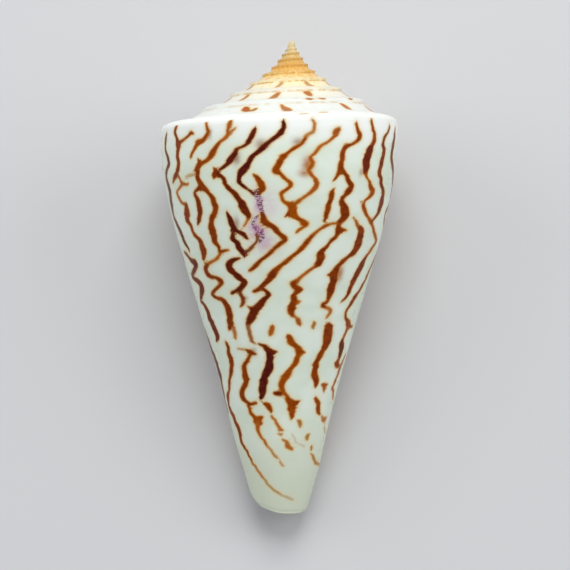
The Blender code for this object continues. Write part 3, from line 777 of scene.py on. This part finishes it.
class ShellMesh:
    """The closed surface of the shell. Columns follow the growth of the coil, rows run down the section."""

    def __init__(self):
        self.turn = column_angles()
        self.steps = len(self.turn)
        self.last = self.steps * SPIRE_TURNS
        self.first_body = self.last - self.steps
        self.first_full = self.steps * PLAIN_TURNS
        self.ends = int(HOLLOW_TURN / 360.0 * self.steps / COARSE_COLUMN)
        self.points = [np.zeros((1, 3))]
        self.traits = [np.zeros((1, 3))]  # growth angle, place on the whorl, 1 inside
        self.count = 1
        self.faces = []
        self.outer_ids = np.zeros((self.last + 1, RAMP_ROWS + 1), dtype=np.int64)
        self.body_ids = np.zeros((self.steps + 1, ROWS + 1), dtype=np.int64)
        self.coarse_rows = [*range(RAMP_ROWS + 1), *range(RAMP_ROWS + COARSE_ROW, ROWS + 1, COARSE_ROW)]

    def angle(self, column):
        column = np.asarray(column)
        return FIRST_ANGLE + 360.0 * (column // self.steps) + self.turn[column % self.steps]

    def add(self, angle, radius, depth, along, inside=0.0):
        points = place(angle, radius, depth)
        ids = self.count + np.arange(len(points))
        self.points.append(points)
        self.traits.append(np.stack(np.broadcast_arrays(angle, along, inside), axis=-1))
        self.count += len(points)
        return ids

    def make_outside(self):
        for row in range(1, RAMP_ROWS + 1):
            columns = np.arange(1 if row in PLAIN_ROWS else self.first_full, self.last + 1)
            angle = swept(self.angle(columns), row)
            radius, depth = outer_row(angle, row)
            if row < RAMP_ROWS:
                lean = math.pi / 2 * row / RAMP_ROWS
                dome = columns < self.steps
                radius = np.where(dome, edge_radius(angle) * math.sin(lean), radius)
                depth = np.where(dome, edge_depth(angle) * (1.0 - math.cos(lean)), depth)
            along = RAMP_PLACES[row - 1] if row < RAMP_ROWS else FOOT
            self.outer_ids[columns, row] = self.add(angle, radius, depth, along)
        start = self.angle(np.array([0]))
        self.outer_ids[0, 1:] = self.add(start, *outer_row(start, RAMP_ROWS), FOOT)[0]
        self.outer_ids[self.steps :, 0] = self.outer_ids[: self.last + 1 - self.steps, RAMP_ROWS]
        self.body_ids[:, : RAMP_ROWS + 1] = self.outer_ids[self.first_body :]
        columns = np.arange(self.first_body, self.last + 1)
        for row in range(RAMP_ROWS + 1, ROWS + 1):
            angle = swept(self.angle(columns), row)
            radius, depth = outer_row(angle, row)
            radius = radius - EDGE_ROUND * (row == ROWS)
            radius[-1] -= EDGE_ROUND
            self.body_ids[:, row] = self.add(angle, radius, depth, BODY)

    def make_spire_faces(self):
        early, first = self.outer_ids[: self.first_full], self.outer_ids[self.first_full]
        self.quads(early[:, PLAIN_ROWS])
        for high, low in zip(PLAIN_ROWS, PLAIN_ROWS[1:]):
            self.face(early[-1, high], early[-1, low], *first[high : low + 1][::-1])
        self.quads(self.outer_ids[self.first_full :])

    def make_inside(self):
        """Columns of the hollow's wall and of the columella, both counted back from the lip."""
        self.inner_ids = np.zeros((self.ends + 1, ROWS + 1), dtype=np.int64)
        self.core_ids = np.zeros((self.ends + 1, ROWS + 1), dtype=np.int64)
        self.core_ids[0] = self.body_ids[0]
        back = np.arange(self.ends + 1) * COARSE_COLUMN
        first_row = RAMP_ROWS + COARSE_ROW
        for row in self.coarse_rows:
            if row >= first_row:
                angle = swept(self.angle(self.first_body - back[1:]), row)
                self.core_ids[1:, row] = self.add(angle, *outer_row(angle, row), BODY, 1.0)
        self.inner_ids[:, 0] = self.core_ids[:, first_row]
        turned = -self.angle(self.last - back)
        for row in self.coarse_rows[1:]:
            angle = swept(self.angle(self.last - back), row)
            radius, depth = inner_row(angle, row, turned)
            radius = radius + EDGE_ROUND * 0.5 * ((row == ROWS) | (back == 0))
            self.inner_ids[:, row] = self.add(angle, radius, depth, BODY, 1.0)

    def quads(self, grid):
        """Faces of a grid of point numbers, left out where the grid closes to a point."""
        a, b, c, d = grid[:-1, :-1], grid[:-1, 1:], grid[1:, 1:], grid[1:, :-1]
        for face in np.stack([a, b, c, d], axis=-1).reshape(-1, 4):
            self.face(*face)

    def face(self, *corners):
        kept = [int(c) for i, c in enumerate(corners) if c != corners[i - 1]]
        if len(set(kept)) >= 3:
            self.faces.append(kept)

    def join(self):
        """Everything but the outside grid: hollow, lip, blind end and base."""
        rows = self.coarse_rows
        wall_rows = [r for r in rows if r >= RAMP_ROWS + COARSE_ROW]
        lip = self.body_ids[-1]
        self.quads(self.inner_ids[:, rows])
        self.quads(self.core_ids[1:, wall_rows][:, ::-1])
        for high, low in zip(wall_rows, wall_rows[1:]):
            edge = self.core_ids[0, high : low + 1][::-1]
            self.face(self.core_ids[1, low], *edge, self.core_ids[1, high])
        for high, low in zip(rows, rows[1:]):
            self.face(self.inner_ids[0, high], self.inner_ids[0, low], *lip[high : low + 1][::-1])
        self.close_hollow(rows, wall_rows)
        self.close_base()

    def close_hollow(self, rows, wall_rows):
        inner, core = self.inner_ids[-1], self.core_ids[-1]
        foot = core[wall_rows[1]]
        above = [r for r in rows if r <= wall_rows[1]]
        for high, low in zip(above, above[1:]):
            self.face(foot, inner[low], inner[high])
        for high, low in zip(wall_rows[1:], wall_rows[2:]):
            self.face(core[high], core[low], inner[low], inner[high])

    def close_base(self):
        margin = self.body_ids[:, ROWS]
        tip = self.add(np.zeros(1), np.zeros(1), np.array([TIP_DEPTH]), BODY)[0]
        for k in range(self.ends):
            near = self.steps - k * COARSE_COLUMN
            rim = margin[near - COARSE_COLUMN : near + 1]
            self.face(self.inner_ids[k + 1, ROWS], *rim, self.inner_ids[k, ROWS])
            self.face(self.core_ids[k, ROWS], self.core_ids[k + 1, ROWS], tip)
        closed = self.steps - self.ends * COARSE_COLUMN
        columns = np.arange(1, closed)
        share = columns / closed
        angle = swept(self.angle(self.first_body + columns), ROWS)
        radius, depth = outer_row(angle, ROWS)
        first = swept(self.angle(self.first_body), ROWS)
        first_radius, first_depth = outer_row(first, ROWS)
        rings = [margin[: closed + 1]]
        for number, end in enumerate((self.inner_ids[-1, ROWS], self.core_ids[-1, ROWS])):
            target = self.point(end)
            width = first_radius + (np.hypot(target[0], target[1]) - first_radius) * share
            width = np.minimum(width, radius - FOOT_WIDTH * (number + 1) * share)
            level = np.maximum(first_depth + (-target[2] - first_depth) * share, depth)
            middle = self.add(angle, width, level, BODY)
            rings.append(np.concatenate([[margin[0]], middle, [end]]))
        rings.append(np.full(closed + 1, tip))
        self.quads(np.stack(rings, axis=1))

    def point(self, number):
        return np.concatenate(self.points)[number]

    def build(self):
        self.make_outside()
        self.make_inside()
        self.make_spire_faces()
        self.quads(self.body_ids[:, RAMP_ROWS:])
        self.join()
        return np.concatenate(self.points)


def to_world(apex):
    """From the shell's own axis to the way it lies, with the apex where the solid has it."""
    lying = Matrix.Rotation(math.radians(-90.0), 4, "X")
    roll = Matrix.Rotation(math.radians(REST_ROLL), 4, "Y")
    pitch = Matrix.Rotation(math.radians(REST_PITCH), 4, "X")
    return Matrix.Translation(apex) @ Matrix.Scale(MM, 4) @ pitch @ roll @ lying


def apex_of(node):
    return max((v.co for v in node.data.vertices), key=lambda co: co.y).copy()


def around(points):
    """A vector that runs round the axis and, in cm, down it, without a break at the sutures."""
    turn = np.arctan2(points[:, 1], points[:, 0])
    return np.stack([np.cos(turn), np.sin(turn), -points[:, 2] / 10.0], axis=-1)


def make_shell(world):
    shape = ShellMesh()
    points = shape.build()
    placed = points @ np.array(world.to_3x3()).T + np.array(world.translation)
    mesh = bpy.data.meshes.new("cone_shell")
    mesh.from_pydata(placed.tolist(), [], shape.faces)
    mesh.shade_smooth()
    mesh.set_sharp_from_angle(angle=math.radians(SHARP_ANGLE))
    angles, places, inside = np.concatenate(shape.traits).T
    values = mark(points, angles, places, inside)
    coil = np.where(places <= RAMP_END, np.hypot(points[:, 0], points[:, 1]), SPIRE_REACH * 2.0)
    values["coil"] = np.where(places == FOOT, edge_radius(angles), coil)
    values["suture"] = suture_line_and_shade(angles, places)
    values["inside"] = inside
    for name, numbers in values.items():
        mesh.attributes.new(name, "FLOAT", "POINT").data.foreach_set("value", numbers.astype(np.float32))
    vectors = mesh.attributes.new("around", "FLOAT_VECTOR", "POINT")
    vectors.data.foreach_set("vector", around(points).astype(np.float32).ravel())
    shell = bpy.data.objects.new("cone_shell", mesh)
    bpy.context.scene.collection.objects.link(shell)
    return shell


def suture_line_and_shade(angles, places):
    """Where the amber suture line goes, partly painted shade under each whorl's edge: 1 in the groove at the
    inner edge of a ramp, 0 elsewhere.
    """
    foot = (places == FOOT) & (angles < BODY_START)
    return np.where(places <= RAMP_END, np.clip(1.0 - places / SUTURE_WIDTH, 0.0, 1.0), foot)


# Camera, set against the shell's own axis
CAMERA_DISTANCE = 420.0
CAMERA_DEPTH = 36.4
CAMERA_SIDE = -0.28
CAMERA_ROLL = 1.17
CAMERA_LENS = 178.6
CAMERA_SENSOR = 36.0
CAMERA_CLIP = (0.01, 10.0)

# Floor and lights, in metres and watts
FLOOR_SIZE = 8.0
FLOOR_COLOUR = (0.62, 0.62, 0.62, 1.0)
FLOOR_ROUGHNESS = 0.9
LIT_POINT = (0.0, 0.0, 0.015)
LIGHTS = (  # name, place, size, power
    ("key", (0.05, 0.38, 0.55), 0.45, 2.75),
    ("left", (-0.5, 0.12, 0.35), 0.35, 0.75),
    ("right", (0.5, 0.12, 0.35), 0.35, 0.9),
)
SKY_COLOUR = (0.9, 0.93, 1.0, 1.0)
SKY_STRENGTH = 0.42


def make_camera(world):
    camera = bpy.data.objects.new("camera", bpy.data.cameras.new("camera"))
    bpy.context.scene.collection.objects.link(camera)
    camera.data.lens = CAMERA_LENS
    camera.data.sensor_width = CAMERA_SENSOR
    camera.data.clip_start, camera.data.clip_end = CAMERA_CLIP
    facing = Matrix.Rotation(math.radians(90.0), 4, "X")
    roll = Matrix.Rotation(math.radians(CAMERA_ROLL), 4, "Z")
    stand = Matrix.Translation((CAMERA_SIDE, -CAMERA_DISTANCE, -CAMERA_DEPTH))
    spot, turn, _ = (world @ stand @ facing @ roll).decompose()
    camera.location = spot
    camera.rotation_euler = turn.to_euler()
    bpy.context.scene.camera = camera


def linear(colour):
    """A colour of 0 to 255 a channel, as the shader wants it."""
    parts = [c / 255.0 for c in colour]
    return (*[p / 12.92 if p <= 0.04045 else ((p + 0.055) / 1.055) ** 2.4 for p in parts], 1.0)


class Paint:
    """Short forms for the nodes of one material."""

    def __init__(self, name):
        self.material = bpy.data.materials.new(name)
        self.material.use_nodes = True
        self.tree = self.material.node_tree
        self.surface = self.tree.nodes["Principled BSDF"].inputs

    def feed(self, socket, value):
        if isinstance(value, bpy.types.NodeSocket):
            self.tree.links.new(value, socket)
        else:
            socket.default_value = value

    def node(self, kind, inputs, **settings):
        node = self.tree.nodes.new(kind)
        for key, value in settings.items():
            setattr(node, key, value)
        for key, value in inputs.items():
            self.feed(node.inputs[key], value)
        return node

    def value(self, name):
        return self.node("ShaderNodeAttribute", {}, attribute_name=name).outputs["Fac"]

    def around(self):
        return self.node("ShaderNodeAttribute", {}, attribute_name="around").outputs["Vector"]

    def math(self, operation, *values):
        return self.node("ShaderNodeMath", dict(enumerate(values)), operation=operation).outputs[0]

    def plus(self, first, second):
        return self.math("ADD", first, second)

    def times(self, first, *others):
        for other in others:
            first = self.math("MULTIPLY", first, other)
        return first

    def grade(self, value, name):
        """0 at the first value of a grade, 1 at its second, eased at both."""
        low, high = GRADES[name]
        inputs = {"Value": value, "From Min": low, "From Max": high}
        return self.node("ShaderNodeMapRange", inputs, interpolation_type="SMOOTHSTEP").outputs["Result"]

    def noise(self, name):
        scale, across, down, detail = NOISES[name]
        stretch = {0: self.around(), 1: (across, across, down)}
        place = self.node("ShaderNodeVectorMath", stretch, operation="MULTIPLY").outputs[0]
        inputs = {"Vector": place, "Scale": scale, "Detail": detail}
        return self.node("ShaderNodeTexNoise", inputs).outputs[0]

    def waver(self, name, size):
        """Noise about zero, size either way."""
        return self.times(self.plus(self.noise(name), -0.5), 2.0 * size)

    def mix(self, amount, first, second):
        node = self.node("ShaderNodeMix", {}, data_type="RGBA")
        self.feed(node.inputs[0], amount)
        for socket, colour in ((6, first), (7, second)):
            self.feed(node.inputs[socket], linear(colour) if isinstance(colour, tuple) else colour)
        return node.outputs[2]

    def steps(self, value, reach, stops):
        """A run of colours along a value from 0 to reach."""
        node = self.node("ShaderNodeValToRGB", {"Fac": self.math("DIVIDE", value, reach)})
        places = node.color_ramp.elements
        while len(places) < len(stops):
            places.new(1.0)
        for element, (at, colour) in zip(places, stops):
            element.position = at / reach
            element.color = linear(colour)
        return node.outputs["Color"]


def ground_colour(paint):
    """The shell's colour without its lines: cream to tan at the tip, white ramps, a faintly green body, a
    painted highlight near the shoulder edge, and an amber suture line that is partly painted shade.
    """
    body = paint.mix(paint.grade(paint.noise("cloud"), "cloud"), *BODY_COLOURS)
    down = paint.node("ShaderNodeSeparateXYZ", {"Vector": paint.around()}).outputs["Z"]
    body = paint.mix(paint.grade(down, "base"), body, BASE_COLOUR)
    # painted highlight along the shoulder edge
    body = paint.mix(paint.grade(down, "edge"), body, EDGE_PAINTED_HIGHLIGHT)
    coil = paint.plus(paint.value("coil"), paint.waver("coil", COIL_WAVER))
    spire = paint.steps(coil, SPIRE_REACH, SPIRE_COLOURS)
    colour = paint.mix(paint.grade(coil, "spire"), spire, body)
    # amber suture line, partly painted shade in the groove under each whorl's edge
    groove = paint.times(
        paint.grade(paint.value("suture"), "groove"),
        paint.grade(coil, "groove reach"),
        paint.grade(paint.noise("groove"), "groove breaks"),
    )
    colour = paint.mix(groove, colour, SUTURE_LINE_AND_PAINTED_SHADE)
    stain = paint.times(paint.value("stain"), paint.grade(paint.noise("stain"), "stain"))
    colour = paint.mix(stain, colour, STAIN_COLOUR)
    return paint.mix(paint.value("inside"), colour, INSIDE_COLOUR)


def line_colour(paint, ground):
    """The zigzag lines over the ground colour: a ragged edge, an orange rim and a dark core."""
    beside = paint.math("SUBTRACT", paint.math("ABSOLUTE", paint.value("side")), paint.value("half"))
    least, most = (paint.plus(paint.value("line"), slack) for slack in LINE_SLACK)
    line = paint.math("MINIMUM", paint.math("MAXIMUM", beside, least), most)
    line = paint.plus(line, paint.waver("ragged", LINE_WAVER))
    violet = paint.times(paint.value("stain"), paint.grade(paint.value("tone"), "violet"))
    gaps = paint.times(paint.grade(paint.noise("net"), "gaps"), paint.grade(violet, "net"), GAP_DEPTH)
    brown = paint.times(paint.value("strength"), paint.grade(violet, "brown"))
    colour = ground
    for amount, tint in (
        (paint.times(paint.grade(line, "haze"), HAZE_AMOUNT, brown), HAZE_COLOUR),
        (paint.times(paint.grade(line, "halo"), HALO_AMOUNT, brown), HALO_COLOUR),
        (paint.value("smudge"), SMUDGE_COLOUR),
        (paint.value("tan"), TAN_COLOUR),
    ):
        colour = paint.mix(amount, colour, tint)
    tone = paint.plus(paint.value("tone"), paint.waver("tone", TONE_WAVER))
    core = paint.steps(tone, 1.0, LINE_COLOURS)
    orange = paint.times(paint.grade(tone, "orange below"), paint.grade(tone, "orange above"))
    rim = paint.mix(orange, core, RIM_COLOUR)
    stroke = paint.mix(paint.grade(line, "core"), rim, core)
    stroke = paint.mix(violet, stroke, VIOLET)
    whole = paint.math("SUBTRACT", 1.0, gaps)
    drawn = paint.times(paint.grade(line, "stroke"), paint.value("strength"), whole)
    return paint.mix(drawn, colour, stroke)


def make_porcelain():
    """Glossy shell, with faint growth lines along the whorl and finer threads round it."""
    paint = Paint("shell_porcelain")
    paint.feed(paint.surface["Base Color"], line_colour(paint, ground_colour(paint)))
    paint.feed(paint.surface["Roughness"], paint.plus(ROUGHNESS, paint.times(paint.noise("wear"), WEAR)))
    for name, value in GLOSS.items():
        paint.surface[name].default_value = value
    relief = paint.plus(paint.noise("growth"), paint.times(paint.noise("threads"), THREAD_SHARE))
    bump = paint.node("ShaderNodeBump", {"Height": relief, **BUMP})
    paint.feed(paint.surface["Normal"], bump.outputs["Normal"])
    return paint.material


def make_floor():
    bpy.ops.mesh.primitive_plane_add(size=FLOOR_SIZE, location=(0, 0, 0))
    floor = bpy.context.object
    floor.name = "floor"
    paper = Paint("floor_paper")
    paper.surface["Base Color"].default_value = FLOOR_COLOUR
    paper.surface["Roughness"].default_value = FLOOR_ROUGHNESS
    floor.data.materials.append(paper.material)


def area_light(name, location, size, power):
    data = bpy.data.lights.new(name, "AREA")
    data.size = size
    data.energy = power
    light = bpy.data.objects.new(name, data)
    light.location = location
    light.rotation_euler = (Vector(LIT_POINT) - Vector(location)).to_track_quat("-Z", "Y").to_euler()
    bpy.context.scene.collection.objects.link(light)


def make_lights():
    for light in LIGHTS:
        area_light(*light)
    world = bpy.data.worlds.new("studio")
    bpy.context.scene.world = world
    world.use_nodes = True
    sky = world.node_tree.nodes["Background"].inputs
    sky["Color"].default_value = SKY_COLOUR
    sky["Strength"].default_value = SKY_STRENGTH


world_from_shell = to_world(apex_of(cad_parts["shell"]))
make_camera(world_from_shell)
shell = make_shell(world_from_shell)
shell.data.materials.append(make_porcelain())
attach(shell, "root")
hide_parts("shell")
make_floor()
make_lights()
bpy.context.scene.view_settings.view_transform = "Standard"
